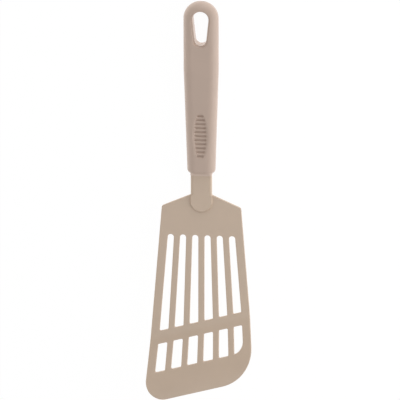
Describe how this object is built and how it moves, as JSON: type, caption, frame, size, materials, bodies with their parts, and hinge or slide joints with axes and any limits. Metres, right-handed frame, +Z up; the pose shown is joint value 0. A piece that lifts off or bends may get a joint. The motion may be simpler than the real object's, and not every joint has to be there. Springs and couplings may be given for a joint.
{
  "type": "offset turner",
  "caption": "Kitchen turner with a bent, slotted blade, a slanted front edge, a flat neck and a moulded handle with a thumb rest and a hanging hole.",
  "frame": {"origin": "on the flat back of the handle, which lies on the table, on the handle's middle line and in the middle of its straight length", "axes": "+Z up from the table the handle lies on, with the thumb rest on top, +Y from the blade towards the handle's round end, +X to the right when the handle points away"},
  "size_m": [0.0881, 0.3396, 0.0271],
  "materials": {
    "head_nylon": "satin warm grey-beige nylon",
    "core_plastic": "satin rigid plastic, pinkish beige",
    "grip_plastic": "fine matt pinkish beige plastic",
    "pin_steel": "plain turned steel"
  },
  "bodies": {
    "root": {"turner_head": "head_nylon", "handle_core": "core_plastic", "handle_grip": "grip_plastic", "tang_pins": "pin_steel"}
  },
  "joints": []
}
